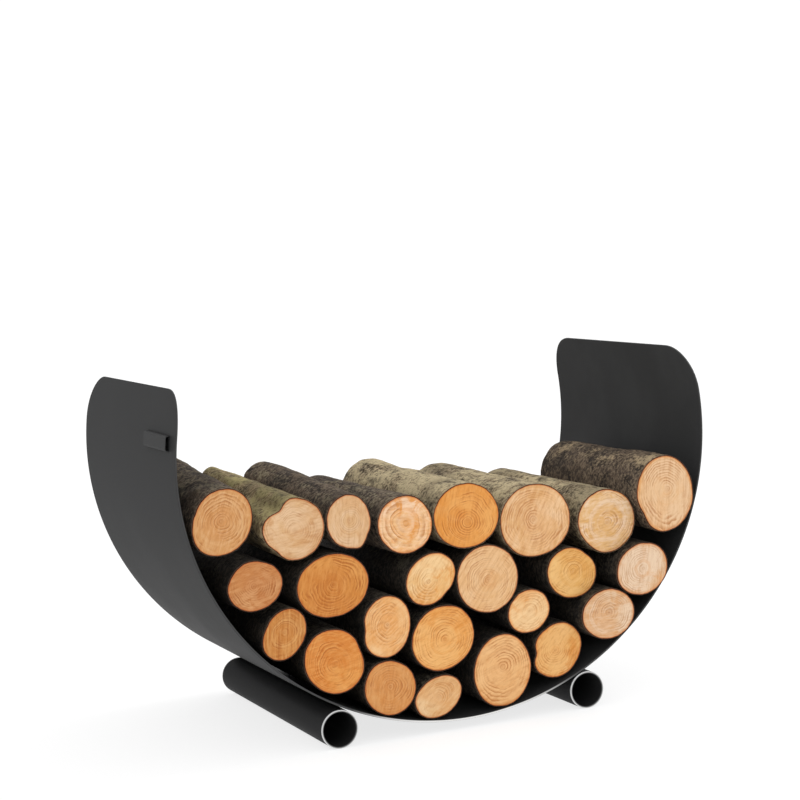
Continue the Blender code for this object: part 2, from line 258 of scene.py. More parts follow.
def powder_coat(name, colour, highlight_colour, edge_highlight, low_edge_highlight=0.0):
    """Satin powder coat: fine orange peel, faint dust, and a highlight painted in patches along its
    edges.

    The last argument is how strongly the edges near the floor are painted pale as a highlight.
    """
    shading = Shading(name, 0.50, specular=0.016)
    place = shading.place()
    rim = shading.attribute("rim")
    dust = shading.noise(place, 9.0, 5.0, 0.6)
    grain = shading.noise(place, 1500.0, 2.0)
    peel = shading.noise(place, 420.0, 2.0)
    lighter = tuple(part * 1.3 + 0.001 for part in colour[:3]) + (1.0,)
    coat = shading.mix(shading.spread(dust, 0.35, 0.75), colour, lighter)
    # Lighter colour painted along the edges as a highlight, in patches.
    painted_edge_highlight = shading.times(rim, shading.spread(dust, 0.2, 0.5, edge_highlight * 0.5, edge_highlight))
    coat = shading.mix(painted_edge_highlight, coat, highlight_colour)
    # Edges near the floor painted pale as a highlight.
    height = shading.node("SeparateXYZ", {0: place}).outputs["Z"]
    painted_low_highlight = shading.spread(height, LOW_HIGHLIGHT_FULL_BELOW, LOW_HIGHLIGHT_NONE_ABOVE, low_edge_highlight, 0.0)
    coat = shading.mix(shading.times(rim, painted_low_highlight), coat, LOW_EDGE_HIGHLIGHT)
    normal = shading.bump(shading.plus(grain, peel, 1.6), 0.10, 0.0004)
    roughness = shading.spread(dust, 0.3, 0.8, 0.44, 0.56)
    return shading.finish(coat, normal, roughness)


def bare_metal(name, colour, roughness):
    """Plated steel with faint stains and fine scratches."""
    shading = Shading(name, roughness, metallic=1.0)
    place = shading.place()
    stain = shading.noise(place, 260.0, 4.0)
    scratch = shading.noise(shading.place(stretch=(1.0, 1.0, 0.055)), 900.0, 2.0)
    darker = tuple(part * 0.7 for part in colour[:3]) + (1.0,)
    tone = shading.mix(shading.spread(stain, 0.35, 0.7), colour, darker)
    normal = shading.bump(scratch, 0.15, 0.0002)
    uneven = shading.spread(stain, 0.3, 0.8, roughness - 0.08, roughness + 0.12)
    return shading.finish(tone, normal, uneven)


# Reddish line at the edge of a sawn face, and the paler cut rim of the bark round it.
EDGE_BAND = srgb(186, 96, 46)
EDGE_BAND_WIDTH = 0.0014
CUT_BARK = srgb(138, 108, 88)


def growth_rings(shading, place, look, seed):
    """Distance from the pith, made to wander, and how much late and early wood shows."""
    ring = shading.plus(shading.attribute("ring"), shading.noise(place, 26.0, 3.0), 0.0150)
    ring = shading.plus(ring, shading.noise(place, 150.0, 3.0, 0.6), 0.0016)
    count = shading.calc("DIVIDE", ring, look.spacing)
    uneven = shading.line_noise(shading.times(count, 0.57), seed)
    phase = shading.calc("FRACT", shading.plus(count, uneven, 1.8))
    late = shading.spread(phase, 0.30, 0.90)
    late = shading.times(late, shading.spread(phase, 0.92, 1.0, 1.0, 0.0))
    early = shading.spread(phase, 0.0, 0.30, 1.0, 0.0)
    patch = shading.spread(shading.noise(place, 40.0, 3.0, 0.6), 0.42, 0.60, 0.06, 1.0)
    years = shading.spread(uneven, 0.34, 0.60, 0.25, 1.0)
    seen = shading.times(shading.times(patch, years), min(1.0, look.strength * 1.35))
    return ring, shading.times(late, seen), shading.times(shading.times(early, seen), 0.7)


def blotched_wood(shading, place, look, ring, blotch, seed):
    """Wood before its rings and marks: heart, blotches, ring zones and the outer edge."""
    outer = srgb(*look.outer)
    pale = srgb(*look.pale)
    blotchy = look.blotchy
    zone = shading.line_noise(shading.times(ring, 150.0), seed)
    cloud = shading.noise(place, 20.0, 3.0, 0.55, 0.6)
    side = shading.noise(place, 13.0, 1.0)
    rim = shading.plus(shading.attribute("edge"), blotch, -0.006)
    from_heart = shading.spread(shading.attribute("share"), 0.08, 0.70)
    wood = shading.mix(from_heart, srgb(*look.heart), srgb(*look.tone))
    layers = (
        (cloud, 0.47, 0.60, 0.0, min(1.0, 1.3 * blotchy), pale),
        (blotch, 0.50, 0.62, 0.0, min(1.0, 1.4 * blotchy), outer),
        (blotch, 0.34, 0.46, 0.9 * blotchy, 0.0, pale),
        (side, 0.50, 0.60, 0.0, 0.60, outer),
        (side, 0.40, 0.50, 0.65, 0.0, pale),
        (zone, 0.52, 0.64, 0.0, 0.38, outer),
        (zone, 0.36, 0.48, 0.40, 0.0, pale),
        (rim, -0.0034, 0.0014, 0.85, 0.0, outer),
    )
    return shading.tints(wood, layers)


def end_grain(name, look, seed):
    """Sawn end of a log: blotched wood, growth rings about the pith, saw marks and pores."""
    shading = Shading(name, 0.62, specular=0.25)
    tone = srgb(*look.tone)
    pale = srgb(*look.pale)
    dark = (tone[0] * 0.60, tone[1] * 0.40, tone[2] * 0.25, 1.0)
    streaky = look.streaky
    shift = (seed * 3.7, seed * 1.3, seed * 2.1)
    turn = math.radians(look.streak_turn)
    place = shading.place(shift=shift)
    turned = shading.place(stretch=(1.0, 1.0, 20.0), turn=turn, shift=shift)
    along = shading.place(stretch=(1.0, 1.0, 3.3), turn=turn, shift=shift)
    ring, late, early = growth_rings(shading, place, look, seed)
    blotch = shading.noise(place, 48.0, 5.0, 0.66, 1.0)
    wood = blotched_wood(shading, place, look, ring, blotch, seed)
    wood = shading.mix(late, wood, dark)
    wood = shading.mix(early, wood, pale)

    streak = shading.noise(turned, 1100.0, 3.0, 0.6)
    fibre = shading.noise(along, 420.0, 3.0)
    band = shading.noise(turned, 330.0, 3.0)
    pores = shading.noise(place, 1900.0, 3.0, 0.6)
    marks = (
        (streak, 0.54, 0.74, 0.0, 0.30, dark),
        (streak, 0.28, 0.46, 0.22, 0.0, pale),
        (fibre, 0.52, 0.68, 0.0, 0.26, dark),
        (fibre, 0.34, 0.48, 0.30, 0.0, pale),
        (band, 0.50, 0.64, 0.0, 0.10 * streaky, dark),
        (band, 0.34, 0.48, 0.11 * streaky, 0.0, pale),
        (pores, 0.54, 0.76, 0.0, 0.34, dark),
        (shading.attribute("share"), 0.0, 0.16, 0.25, 0.0, dark),
        (shading.attribute("edge"), 0.0, EDGE_BAND_WIDTH, 0.80, 0.0, EDGE_BAND),
    )
    wood = shading.tints(wood, marks)
    height = shading.plus(streak, late, -0.5)
    height = shading.plus(height, pores, 0.6)
    normal = shading.bump(height, 0.45, 0.0007)
    return shading.finish(wood, normal, shading.spread(blotch, 0.3, 0.7, 0.55, 0.72))


def growth_cover(shading, patches, speck, cover):
    """How much moss or lichen there is at a place: patchy, and mostly on the upper side."""
    facing = shading.node("NewGeometry").outputs["Normal"]
    up = shading.node("SeparateXYZ", {0: facing}).outputs["Z"]
    amount = shading.plus(patches, shading.spread(up, -0.2, 0.8), 0.30)
    amount = shading.plus(amount, speck, 0.45)
    threshold = 1.16 - 0.20 * cover
    return shading.spread(amount, threshold - 0.09, threshold + 0.09, 0.0, 0.85)


def bark(name, look, seed):
    """Smooth-barked hardwood: mottled and wrinkled, with lichen or moss over the top."""
    dark, middle, light, growth, cover = look
    shading = Shading(name, 0.88, specular=0.2)
    shift = (seed * 5.1, seed * 2.3, seed * 4.4)
    place = shading.place(shift=shift)
    along = shading.place(stretch=(1.0, 2.0, 1.0), shift=shift)
    across = shading.place(stretch=(2.5, 0.67, 2.5), shift=shift)
    mottle = shading.noise(along, 52.0, 6.0, 0.64, 0.5)
    broad = shading.noise(along, 13.0, 3.0, 0.55, 0.4)
    patches = shading.noise(along, 42.0, 6.0, 0.70, 0.6)
    wrinkle = shading.noise(across, 300.0, 4.0, 0.6, 0.8)
    speck = shading.noise(place, 260.0, 6.0, 0.70)
    skin = shading.mix(shading.spread(mottle, 0.36, 0.60), dark, middle)
    skin = shading.mix(shading.spread(speck, 0.44, 0.62, 0.0, 0.8), skin, light)
    amount = growth_cover(shading, patches, speck, cover)
    skin = shading.mix(amount, skin, growth)
    shadows = (
        (speck, 0.34, 0.48, 0.60, 0.0, dark),
        (mottle, 0.34, 0.45, 0.60, 0.0, dark),
        (wrinkle, 0.32, 0.42, 0.80, 0.0, dark),
        (broad, 0.38, 0.54, 0.40, 0.0, dark),
        (shading.attribute("share"), 0.0, 1.0, 0.35, 0.0, CUT_BARK),
    )
    skin = shading.tints(skin, shadows)
    height = shading.plus(shading.times(speck, 1.2), wrinkle, 1.3)
    height = shading.plus(height, mottle, 1.6)
    height = shading.plus(height, amount, 0.3)
    return shading.finish(skin, shading.bump(height, 0.9, 0.0016))


def cambium(name, seed):
    """Thin dark line of inner bark round the sawn end."""
    shading = Shading(name, 0.8, specular=0.2)
    fleck = shading.noise(shading.place(shift=(seed, 0.0, seed)), 600.0, 4.0, 0.6)
    tone = shading.mix(shading.spread(fleck, 0.35, 0.7), srgb(44, 24, 16), srgb(88, 48, 28))
    return shading.finish(tone, shading.bump(fleck, 0.5, 0.0005))


# ---------------------------------------------------------------- mesh helpers


def make_mesh(name, vertices, faces, materials, face_material=None, attributes=None):
    """Smooth-shaded object with its materials and point attributes."""
    mesh = bpy.data.meshes.new(name)
    mesh.from_pydata([tuple(point) for point in vertices], [], faces)
    for material in materials:
        mesh.materials.append(material)
    if face_material is not None:
        mesh.polygons.foreach_set("material_index", face_material)
    for key, values in (attributes or {}).items():
        layer = mesh.attributes.new(key, "FLOAT", "POINT")
        layer.data.foreach_set("value", np.asarray(values, np.float32))
    mesh.polygons.foreach_set("use_smooth", [True] * len(mesh.polygons))
    mesh.validate()
    obj = bpy.data.objects.new(name, mesh)
    bpy.context.scene.collection.objects.link(obj)
    return obj


def sharpen(obj, degrees):
    obj.data.set_sharp_from_angle(angle=math.radians(degrees))


def quarter_turns(steps):
    """Angles from zero to a right angle in equal steps."""
    return [0.5 * math.pi * i / steps for i in range(steps + 1)]


def loop_faces(first, second, count):
    """Quads between two closed rings of vertices that start at first and second."""
    faces = []
    for i in range(count):
        j = (i + 1) % count
        faces.append((first + i, first + j, second + j, second + i))
    return faces


def cut_holes(obj, cutters):
    """Applies the cutters as exact boolean differences and removes them."""
    for cutter in cutters:
        modifier = obj.modifiers.new(cutter.name, "BOOLEAN")
        modifier.operation = "DIFFERENCE"
        modifier.solver = "EXACT"
        modifier.object = cutter
    graph = bpy.context.evaluated_depsgraph_get()
    cut_mesh = bpy.data.meshes.new_from_object(obj.evaluated_get(graph))
    obj.modifiers.clear()
    obj.data = cut_mesh
    for cutter in cutters:
        bpy.data.objects.remove(cutter, do_unlink=True)


def lathe(name, profile, sides, materials, placement):
    """Solid of revolution about local Z from (radius, height) pairs, closed at both ends."""
    vertices = []
    faces = []
    for radius, height in profile:
        for i in range(sides):
            turn = 2 * math.pi * i / sides
            spot = Vector((radius * math.cos(turn), radius * math.sin(turn), height))
            vertices.append(placement @ spot)
    for ring in range(len(profile) - 1):
        faces += loop_faces(ring * sides, (ring + 1) * sides, sides)
    faces.append(tuple(reversed(range(sides))))
    last = (len(profile) - 1) * sides
    faces.append(tuple(range(last, last + sides)))
    return make_mesh(name, vertices, faces, materials)


# ---------------------------------------------------------------- cradle, feet, sleeve


def normal_at(angle):
    """Outward direction of the arc at an angle from its lowest point, right positive."""
    outward = Vector((math.sin(angle) / HALF_WIDTH, 0.0, -math.cos(angle) / HALF_HEIGHT))
    return outward.normalized()


def arc_point(angle, offset=0.0):
    """Point on the cradle's outer face, moved outward by offset."""
    point = Vector((HALF_WIDTH * math.sin(angle), 0.0, -HALF_HEIGHT * math.cos(angle)))
    return CENTRE + point + normal_at(angle) * offset


# Lengths along the outer arc at close angles, with zero at its lowest point.
ARC_SAMPLES = 2001
ARC_ANGLES = np.linspace(-END_ANGLE, END_ANGLE, ARC_SAMPLES)
ARC_SPEED = np.hypot(HALF_WIDTH * np.cos(ARC_ANGLES), HALF_HEIGHT * np.sin(ARC_ANGLES))
ARC_STEPS = (ARC_SPEED[1:] + ARC_SPEED[:-1]) / 2 * np.diff(ARC_ANGLES)
ARC_LENGTHS = np.concatenate([[0.0], np.cumsum(ARC_STEPS)])
ARC_LENGTHS -= ARC_LENGTHS[-1] / 2


def rolled(along, across, offset):
    """Point of the flat blank, bent round the arc: along it, across its depth, outward."""
    angle = float(np.interp(along, ARC_LENGTHS, ARC_ANGLES))
    point = arc_point(angle, offset)
    point.y = CENTRE.y + across
    return point


def blank_stations(half_length, corner, steps, corner_steps):
    """(along, edge inset, inward direction) down the front edge of a rounded rectangle."""
    stations = []
    for turn in quarter_turns(corner_steps):
        along = -half_length + corner * (1 - math.cos(turn))
        stations.append((along, corner * (1 - math.sin(turn)), (math.cos(turn), math.sin(turn))))
    for i in range(1, steps):
        along = (half_length - corner) * (2 * i / steps - 1)
        stations.append((along, 0.0, (0.0, 1.0)))
    for along, inset, (inward, up) in reversed(stations[: corner_steps + 1]):
        stations.append((-along, inset, (-inward, up)))
    return stations


def edge_profile(thickness, radius, steps):
    """(inset, outward offset, rim share) round a sheet's edge, from outer to inner face."""
    outer = [(radius * 2.5, 0.0, 0.0)]
    for i, turn in enumerate(quarter_turns(steps)):
        outer.append((radius * (1 - math.sin(turn)), -radius * (1 - math.cos(turn)), i / steps))
    inner = [(inset, -thickness - offset, rim) for inset, offset, rim in reversed(outer)]
    return outer + inner


def build_cradle(material):
    """Sheet bent round the arc, with rounded corners and edges and four screw holes."""
    half_length = float(ARC_LENGTHS[-1])
    stations = blank_stations(half_length, SHEET_CORNER, SHEET_STEPS, CORNER_STEPS)
    profile = edge_profile(SHEET, SHEET_EDGE, EDGE_STEPS)
    count = 2 * len(stations)
    vertices = []
    rims = []
    for inset, offset, rim in profile:
        for along, pull, (inward, up) in stations:
            across = -HALF_DEPTH + pull + inset * up
            vertices.append(rolled(along + inset * inward, across, offset))
        for along, pull, (inward, up) in reversed(stations):
            across = HALF_DEPTH - pull - inset * up
            vertices.append(rolled(along + inset * inward, across, offset))
        rims += [rim] * count
    faces = []
    for step in range(len(profile) - 1):
        faces += loop_faces(step * count, (step + 1) * count, count)
    last = (len(profile) - 1) * count
    for i in range(len(stations) - 1):
        back = count - 1 - i
        faces.append((i + 1, i, back, back - 1))
        faces.append((last + i, last + i + 1, last + back - 1, last + back))
    cradle = make_mesh("cradle_sheet", vertices, faces, [material], attributes={"rim": rims})
    cutters = []
    for side, side_name in ((-1, "left"), (1, "right")):
        for end_name in ("front", "rear"):
            cutters.append(screw_hole(side, "screw_" + side_name + "_" + end_name, material))
    cut_holes(cradle, cutters)
    sharpen(cradle, METAL_CREASE)
    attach(cradle, "rack")
    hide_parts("cradle")


def facing_in(side, place):
    """Placement at a point, with local Z square to the cradle over one foot, facing in."""
    inward = -normal_at(side * FOOT_ANGLE)
    turn = inward.to_track_quat("Z", "Y").to_matrix().to_4x4()
    return Matrix.Translation(place) @ turn


def screw_hole(side, node, material):
    """Cutter for one screw's countersunk hole through the cradle."""
    low, high = corners(node)
    place = arc_point(side * FOOT_ANGLE)
    place.y = (low.y + high.y) / 2
    head = (high.y - low.y) / 2 + GAP
    profile = [
        (SCREW_SHANK, -OVERCUT),
        (SCREW_SHANK, SCREW_SEAT),
        (head, SHEET - SCREW_HEAD_RIM),
        (head, SHEET + OVERCUT),
    ]
    placement = facing_in(side, place)
    return lathe("hole_" + node, profile, SCREW_HOLE_SIDES, [material], placement)


def foot_profile(radius, half):
    """Closed section of the tube wall, all lips rounded, as (radius, along, rim share)."""
    inner = radius - FOOT_WALL
    turns = quarter_turns(FOOT_LIP_STEPS)
    lips = [(inner, 4 * FOOT_EDGE, 0.0)]
    for turn in turns:
        out = inner + FOOT_EDGE * (1 - math.cos(turn))
        lips.append((out, FOOT_EDGE * (1 - math.sin(turn)), 0.1))
    for turn in turns:
        out = radius - FOOT_EDGE * (1 - math.sin(turn))
        lips.append((out, FOOT_EDGE * (1 - math.cos(turn)), 1.0))
    lips.append((radius, 4 * FOOT_EDGE, 0.0))
    front = [(out, back - half, rim) for out, back, rim in lips]
    rear = [(out, half - back, rim) for out, back, rim in reversed(lips)]
    return front + rear


def nut_hole(side, side_name, end_name, material):
    """Cutter for one rivet nut's hole through the upper wall of a foot."""
    low, high = corners("foot_" + side_name)
    nut_low, nut_high = corners("rivet_nut_" + side_name + "_" + end_name)
    radius = (high.x - low.x) / 2
    place = (low + high) / 2
    place.y = (nut_low.y + nut_high.y) / 2
    profile = [(NUT_HOLE, radius - 3 * FOOT_WALL), (NUT_HOLE, radius + OVERCUT)]
    placement = facing_in(side, place)
    return lathe("hole_foot_" + end_name, profile, NUT_HOLE_SIDES, [material], placement)


def build_foot(side, side_name, material):
    """Round tube, open at both ends, with rounded lips and two holes for its rivet nuts."""
    low, high = corners("foot_" + side_name)
    centre = (low + high) / 2
    radius = (high.x - low.x) / 2
    profile = foot_profile(radius, (high.y - low.y) / 2)
    vertices = []
    rims = []
    for out, along, rim in profile:
        for i in range(FOOT_SIDES):
            turn = 2 * math.pi * (i + 0.5) / FOOT_SIDES
            vertices.append(centre + Vector((out * math.cos(turn), along, out * math.sin(turn))))
        rims += [rim] * FOOT_SIDES
    faces = []
    for step in range(len(profile)):
        following = (step + 1) % len(profile)
        faces += loop_faces(step * FOOT_SIDES, following * FOOT_SIDES, FOOT_SIDES)
    foot = make_mesh("foot_tube_" + side_name, vertices, faces, [material], attributes={"rim": rims})
    ends = ("front", "rear")
    cut_holes(foot, [nut_hole(side, side_name, end_name, material) for end_name in ends])
    sharpen(foot, METAL_CREASE)
    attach(foot, "rack")
    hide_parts("foot_" + side_name)


def sleeve_skin(half_width, height, radius):
    """Arch over the wall from one side to the other, as (across, out)."""
    side = [(half_width, 0.0)]
    for turn in quarter_turns(SLEEVE_STEPS):
        across = half_width - radius + radius * math.cos(turn)
        side.append((across, height - radius + radius * math.sin(turn)))
    return side + [(-across, out) for across, out in reversed(side)]


def build_sleeve(material):
    """Shallow channel on the left wall, open at both ends, with rounded lips."""
    low, high = corners("side_sleeve")
    speed = math.hypot(HALF_WIDTH * math.cos(SLEEVE_ANGLE), HALF_HEIGHT * math.sin(SLEEVE_ANGLE))
    half = SLEEVE_WIDTH / 2
    outer = sleeve_skin(half, SLEEVE_HEIGHT, SLEEVE_ROUND)
    inner = sleeve_skin(half - SLEEVE_WALL, SLEEVE_HEIGHT - SLEEVE_WALL, SLEEVE_ROUND - SLEEVE_WALL)
    middle = [((a[0] + b[0]) / 2, (a[1] + b[1]) / 2) for a, b in zip(outer, inner)]
    rows = (
        (outer, low.y + SLEEVE_LIP, 0.4),
        (middle, low.y, 1.0),
        (inner, low.y + SLEEVE_LIP, 0.4),
        (inner, high.y - SLEEVE_LIP, 0.4),
        (middle, high.y, 1.0),
        (outer, high.y - SLEEVE_LIP, 0.4),
    )
    count = len(outer)
    vertices = []
    rims = []
    for points, along, rim in rows:
        for across, out in points:
            point = arc_point(SLEEVE_ANGLE + across / speed, GAP + out)
            point.y = along
            vertices.append(point)
        rims += [rim] * count
    faces = []
    for step in range(len(rows)):
        following = (step + 1) % len(rows)
        for i in range(count - 1):
            first = step * count + i
            second = following * count + i
            faces.append((first, second, second + 1, first + 1))
    faces.append(tuple(step * count for step in range(len(rows))))
    faces.append(tuple(step * count + count - 1 for step in reversed(range(len(rows)))))
    sleeve = make_mesh("sleeve_shell", vertices, faces, [material], attributes={"rim": rims})
    sharpen(sleeve, METAL_CREASE)
    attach(sleeve, "rack")
    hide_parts("side_sleeve")


def finish_fasteners():
    """Gives the CAD screws and rivet nuts their metals."""
    steel = bare_metal("screw_steel", srgb(150, 150, 152), 0.34)
    zinc = bare_metal("nut_zinc", srgb(190, 186, 172), 0.40)
    for name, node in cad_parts.items():
        if name.startswith("screw_"):
            node.data.materials.clear()
            node.data.materials.append(steel)
        elif name.startswith("rivet_nut_"):
            node.data.materials.clear()
            node.data.materials.append(zinc)


# ---------------------------------------------------------------- logs

# Bark kinds: dark, middle and light colours, that of what grows on it, and how much does.
BARKS = {
    "brown": (srgb(36, 29, 24), srgb(80, 67, 55), srgb(126, 110, 92), srgb(146, 134, 108), 0.24),
    "moss": (srgb(58, 49, 36), srgb(146, 125, 90), srgb(198, 176, 136), srgb(168, 156, 106), 0.72),
    "lichen": (srgb(56, 47, 36), srgb(134, 117, 90), srgb(190, 170, 138), srgb(198, 181, 144), 0.86),
    "dark": (srgb(40, 33, 28), srgb(88, 74, 62), srgb(140, 122, 100), srgb(184, 162, 128), 0.22),
    # Bark of the lower logs: its dark colour made darker still, as painted shade between the logs.
    "shade_darkened": (srgb(20, 17, 15), srgb(46, 40, 34), srgb(82, 73, 62), srgb(104, 97, 82), 0.25),
}

# A log's looks: general, heart, outer and pale colours of its wood, ring spacing in metres
# and strength, turn of the saw streaks in degrees, blotchiness, pith place across and up as
# shares of the half size, bark kind, and how strongly the grain shows.
Look = namedtuple(
    "Look",
    "tone heart outer pale spacing strength streak_turn blotchy pith_x pith_z bark streaky",
    defaults=(1.0,),
)

LOGS = {
    "log_top_1": Look(
        (213, 161, 105), (207, 143, 87), (203, 145, 87), (223, 181, 133),
        0.0030, 0.95, 20, 0.45, -0.05, 0.02, "brown",
    ),
    "log_top_2": Look(
        (215, 173, 125), (213, 165, 113), (203, 153, 103), (225, 191, 153),
        0.0026, 0.50, 84, 0.55, 0.05, -0.05, "moss", 1.6,
    ),
    "log_top_3": Look(
        (217, 177, 133), (217, 177, 130), (211, 163, 113), (227, 195, 159),
        0.0024, 0.40, 5, 0.45, 0.05, 0.05, "brown",
    ),
    "log_top_4": Look(
        (235, 189, 135), (231, 181, 125), (225, 153, 79), (241, 207, 173),
        0.0044, 0.85, 90, 0.95, 0.05, 0.05, "brown",
    ),
    "log_top_5": Look(
        (223, 153, 77), (215, 139, 63), (219, 143, 61), (231, 169, 95),
        0.0031, 0.80, 12, 0.45, 0.05, -0.20, "lichen",
    ),
    "log_top_6": Look(
        (225, 177, 125), (221, 171, 119), (213, 161, 103), (235, 199, 157),
        0.0030, 0.65, 30, 0.55, -0.05, 0.02, "lichen",
    ),
    "log_top_7": Look(
        (227, 189, 143), (221, 175, 123), (219, 169, 103), (235, 209, 183),
        0.0029, 0.80, 85, 0.70, 0.02, -0.04, "lichen",
    ),
    "log_top_8": Look(
        (225, 179, 127), (221, 175, 121), (217, 155, 89), (229, 193, 153),
        0.0030, 0.90, 4, 0.60, 0.10, 0.12, "dark", 2.4,
    ),
    "log_upper_1": Look(
        (199, 139, 81), (199, 137, 81), (185, 115, 61), (215, 163, 111),
        0.0025, 0.85, 75, 0.60, -0.05, 0.00, "shade_darkened",
    ),
    "log_upper_2": Look(
        (207, 137, 63), (203, 131, 59), (195, 119, 49), (219, 155, 83),
        0.0030, 0.80, 15, 0.35, 0.00, 0.02, "shade_darkened",
    ),
    "log_upper_3": Look(
        (231, 185, 123), (235, 193, 135), (223, 155, 81), (239, 205, 155),
        0.0029, 0.55, 40, 0.75, -0.10, -0.10, "shade_darkened",
    ),
    "log_upper_4": Look(
        (225, 179, 129), (213, 149, 87), (221, 173, 119), (235, 199, 155),
        0.0027, 0.60, 38, 0.50, 0.00, -0.02, "shade_darkened", 2.0,
    ),
    "log_upper_5": Look(
        (225, 173, 101), (221, 163, 87), (219, 159, 83), (233, 189, 125),
        0.0028, 0.60, 60, 0.50, 0.05, 0.05, "shade_darkened",
    ),
    "log_upper_6": Look(
        (219, 181, 141), (219, 183, 149), (211, 153, 99), (229, 201, 171),
        0.0025, 0.55, 10, 0.65, 0.05, 0.00, "shade_darkened",
    ),
    "log_lower_1": Look(
        (203, 139, 71), (205, 141, 75), (189, 119, 51), (217, 163, 99),
        0.0028, 0.60, 4, 0.60, 0.00, 0.10, "shade_darkened", 4.5,
    ),
    "log_lower_2": Look(
        (229, 177, 119), (225, 163, 101), (227, 163, 95), (237, 197, 147),
        0.0028, 0.60, 55, 0.60, 0.00, 0.08, "shade_darkened",
    ),
    "log_lower_3": Look(
        (227, 163, 89), (223, 155, 79), (221, 147, 69), (235, 181, 113),
        0.0031, 0.85, 70, 0.50, 0.05, -0.05, "shade_darkened",
    ),
    "log_lower_4": Look(
        (231, 185, 129), (231, 187, 133), (225, 157, 87), (239, 203, 153),
        0.0027, 0.45, 65, 0.55, 0.00, 0.00, "shade_darkened",
    ),
    "log_lower_5": Look(
        (219, 183, 145), (217, 175, 133), (213, 159, 107), (229, 201, 171),
        0.0026, 0.55, 88, 0.55, 0.02, 0.05, "shade_darkened",
    ),
    "log_base_1": Look(
        (219, 147, 71), (219, 151, 75), (207, 123, 49), (229, 167, 95),
        0.0031, 0.95, 80, 0.50, 0.00, -0.08, "shade_darkened",
    ),
    "log_base_2": Look(
        (211, 149, 87), (207, 143, 81), (205, 135, 69), (221, 167, 109),
        0.0029, 0.80, 12, 0.45, 0.00, 0.05, "shade_darkened",
    ),
    "log_base_3": Look(
        (225, 169, 105), (221, 159, 95), (215, 147, 81), (233, 185, 129),
        0.0031, 0.75, 70, 0.60, 0.00, 0.10, "shade_darkened", 1.8,
    ),
    "log_base_4": Look(
        (223, 163, 89), (223, 163, 93), (215, 141, 65), (231, 181, 117),
        0.0028, 0.60, 45, 0.70, -0.10, 0.00, "shade_darkened",
    ),
    "log_base_5": Look(
        (223, 179, 125), (225, 185, 137), (215, 159, 101), (233, 197, 151),
        0.0026, 0.55, 50, 0.60, 0.00, 0.00, "shade_darkened",
    ),
}

# Swellings on the visible logs: direction in degrees from +X, share of the length from the
# front, spread round, spread along, and rise.
SWELLINGS = {
    "log_top_1": [(95, 0.75, 40, 0.22, 0.0016), (120, 0.12, 12, 0.035, 0.0022)],
    "log_top_2": [(100, 0.85, 30, 0.10, 0.0022), (92, 0.97, 14, 0.03, 0.0018)],
    "log_top_3": [(90, 0.62, 30, 0.12, 0.0010)],
    "log_top_4": [(100, 0.60, 30, 0.16, 0.0008)],
    "log_top_5": [
        (95, 0.93, 46, 0.12, 0.0030),
        (85, 0.42, 26, 0.10, 0.0014),
        (100, 0.70, 30, 0.08, -0.0022),
    ],
    "log_top_6": [(95, 0.84, 34, 0.10, 0.0006), (100, 0.45, 26, 0.10, -0.0008)],
    "log_top_7": [(95, 0.66, 30, 0.14, -0.0006)],
    "log_top_8": [(80, 0.25, 30, 0.10, 0.0008)],
    "log_upper_2": [(-130, 0.42, 26, 0.26, 0.0030)],
}


def cad_section(points, along, sides):
    """Middle and smooth radius, by direction, of a CAD log's outline at one place along it."""
    near = points[np.abs(points[:, 1] - along) < SECTION_REACH]
    middle = (near.min(0) + near.max(0)) / 2
    away = near - middle
    directions = np.round(np.arctan2(away[:, 2], away[:, 0]), 4)
    direction, first = np.unique(directions, return_index=True)
    radius = np.hypot(away[first, 0], away[first, 2])
    turns = np.linspace(-math.pi, math.pi, sides, endpoint=False)
    waves = np.fft.rfft(np.interp(turns, direction, radius, period=2 * math.pi))
    waves[OUTLINE_WAVES:] = 0
    return middle, turns, np.fft.irfft(waves, sides)


